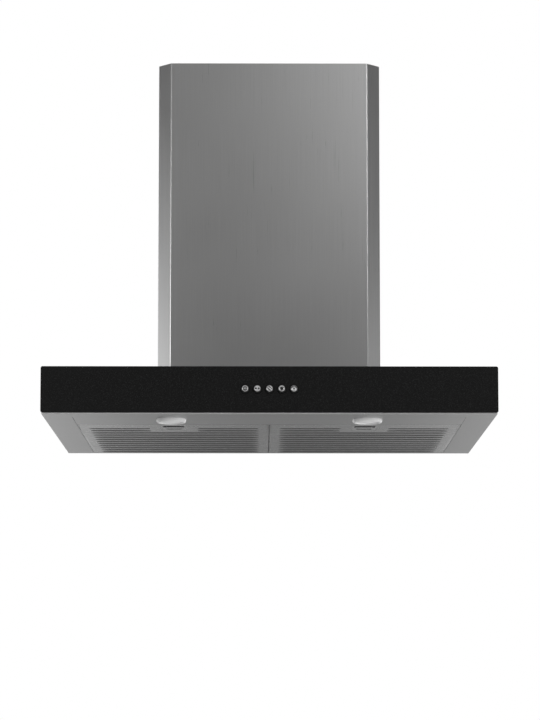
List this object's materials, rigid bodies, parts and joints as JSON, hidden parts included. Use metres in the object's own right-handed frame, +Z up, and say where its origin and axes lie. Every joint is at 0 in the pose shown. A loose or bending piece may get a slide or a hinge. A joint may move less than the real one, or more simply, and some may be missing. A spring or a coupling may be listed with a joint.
{
  "type": "chimney range hood",
  "caption": "Wall range hood: flat steel canopy with a black front panel, push buttons, lamps, hinged grease filters and a telescopic chimney over a ducted blower.",
  "frame": {"origin": "on the wall plane, in the middle of the hood, level with the underside of the canopy", "axes": "+Z up, +Y into the wall, +X to the right as seen from in front; the front faces -Y"},
  "size_m": [0.6, 0.4944, 0.533],
  "materials": {
    "canopy_steel": "brushed front to back, satin",
    "strip_steel": "brushed left to right, satin",
    "chimney_steel": "brushed up and down, satin",
    "black_glass": "black, backed glass, smooth",
    "button_chrome": "polished",
    "spring_steel": "drawn wire",
    "black_plastic": "moulded",
    "grey_plastic": "moulded",
    "bezel_chrome": "polished",
    "frosted_glass": "frosted",
    "lamp_cup": "spun, matt",
    "capsule_glass": "clear",
    "filter_steel": "satin",
    "mesh_aluminium": "expanded mesh in layers",
    "latch_steel": "satin",
    "galvanised": "zinc coated sheet",
    "motor_zinc": "plain",
    "shaft_steel": "ground",
    "core_steel": "stacked sheet",
    "copper": "enamelled wire",
    "screw_zinc": "zinc plated"
  },
  "bodies": {
    "root": {"blower_box": "galvanised", "button_spring_1": "spring_steel", "button_spring_2": "spring_steel", "button_spring_3": "spring_steel", "button_spring_4": "spring_steel", "button_spring_5": "spring_steel", "cable_gland": "black_plastic", "canopy_shell": "canopy_steel", "chimney_cover": "chimney_steel", "flap_pin": "shaft_steel", "front_panel": "black_glass", "lamp_bezel_left": "bezel_chrome", "lamp_bezel_right": "bezel_chrome", "lamp_capsules": "capsule_glass", "lamp_glass_left": "frosted_glass", "lamp_glass_right": "frosted_glass", "lamp_holder_left": "lamp_cup", "lamp_holder_right": "lamp_cup", "light_strip": "strip_steel", "motor_bearings": "shaft_steel", "motor_bracket": "galvanised", "motor_shield_inner": "motor_zinc", "motor_shield_outer": "motor_zinc", "motor_stator": "core_steel", "motor_windings": "copper", "outlet_collar": "grey_plastic", "run_capacitor": "motor_zinc", "scroll_left": "black_plastic", "scroll_right": "black_plastic", "sheet_screws": "screw_zinc", "switch_unit": "black_plastic", "terminal_box": "grey_plastic", "terminal_box_lid": "grey_plastic", "wall_frame": "galvanised"},
    "button_1": {"button_1": "button_chrome"},
    "button_2": {"button_2": "button_chrome"},
    "button_3": {"button_3": "button_chrome"},
    "button_4": {"button_4": "button_chrome"},
    "button_5": {"button_5": "button_chrome"},
    "filter_left": {"filter_frame_left": "filter_steel", "filter_face_left": "filter_steel", "filter_mesh_left": "mesh_aluminium", "filter_back_left": "filter_steel", "latch_cup_left": "latch_steel", "latch_spring_left": "spring_steel"},
    "latch_left": {"latch_slider_left": "latch_steel"},
    "filter_right": {"filter_frame_right": "filter_steel", "filter_face_right": "filter_steel", "filter_mesh_right": "mesh_aluminium", "filter_back_right": "filter_steel", "latch_cup_right": "latch_steel", "latch_spring_right": "spring_steel"},
    "latch_right": {"latch_slider_right": "latch_steel"},
    "impeller": {"impeller": "black_plastic", "motor_shaft": "shaft_steel", "motor_rotor": "core_steel"},
    "flap_front": {"flap_front": "grey_plastic"},
    "flap_rear": {"flap_rear": "grey_plastic"},
    "chimney_extension": {"chimney_extension": "chimney_steel", "chimney_bracket": "galvanised"}
  },
  "joints": [
    {"name": "button_1_press", "type": "slide", "parent": "root", "child": "button_1", "axis": [0, 1, 0], "range_m": [0, 0.003], "stiffness_N_per_m": 600, "springref_m": -0.002, "deforming": ["button_spring_1"]},
    {"name": "button_2_press", "type": "slide", "parent": "root", "child": "button_2", "axis": [0, 1, 0], "range_m": [0, 0.003], "stiffness_N_per_m": 600, "springref_m": -0.002, "deforming": ["button_spring_2"]},
    {"name": "button_3_press", "type": "slide", "parent": "root", "child": "button_3", "axis": [0, 1, 0], "range_m": [0, 0.003], "stiffness_N_per_m": 600, "springref_m": -0.002, "deforming": ["button_spring_3"]},
    {"name": "button_4_press", "type": "slide", "parent": "root", "child": "button_4", "axis": [0, 1, 0], "range_m": [0, 0.003], "stiffness_N_per_m": 600, "springref_m": -0.002, "deforming": ["button_spring_4"]},
    {"name": "button_5_press", "type": "slide", "parent": "root", "child": "button_5", "axis": [0, 1, 0], "range_m": [0, 0.003], "stiffness_N_per_m": 600, "springref_m": -0.002, "deforming": ["button_spring_5"]},
    {"name": "filter_left_tilt", "type": "hinge", "parent": "root", "child": "filter_left", "pos_m": [-0.1305, -0.012, 0], "axis": [1, 0, 0], "range_deg": [0, 60]},
    {"name": "latch_left_slide", "type": "slide", "parent": "filter_left", "child": "latch_left", "axis": [0, 1, 0], "range_m": [0, 0.006], "stiffness_N_per_m": 300, "springref_m": -0.006, "deforming": ["latch_spring_left"]},
    {"name": "filter_right_tilt", "type": "hinge", "parent": "root", "child": "filter_right", "pos_m": [0.1305, -0.012, 0], "axis": [1, 0, 0], "range_deg": [0, 60]},
    {"name": "latch_right_slide", "type": "slide", "parent": "filter_right", "child": "latch_right", "axis": [0, 1, 0], "range_m": [0, 0.006], "stiffness_N_per_m": 300, "springref_m": -0.006, "deforming": ["latch_spring_right"]},
    {"name": "impeller_spin", "type": "hinge", "parent": "root", "child": "impeller", "pos_m": [0, -0.139, 0.165], "axis": [1, 0, 0], "continuous": true},
    {"name": "flap_front_open", "type": "hinge", "parent": "root", "child": "flap_front", "pos_m": [0, -0.1, 0.352], "axis": [-1, 0, 0], "range_deg": [0, 78]},
    {"name": "flap_rear_open", "type": "hinge", "parent": "root", "child": "flap_rear", "pos_m": [0, -0.1, 0.352], "axis": [1, 0, 0], "range_deg": [0, 78]},
    {"name": "chimney_raise", "type": "slide", "parent": "root", "child": "chimney_extension", "axis": [0, 0, 1], "range_m": [0, 0.28]}
  ]
}
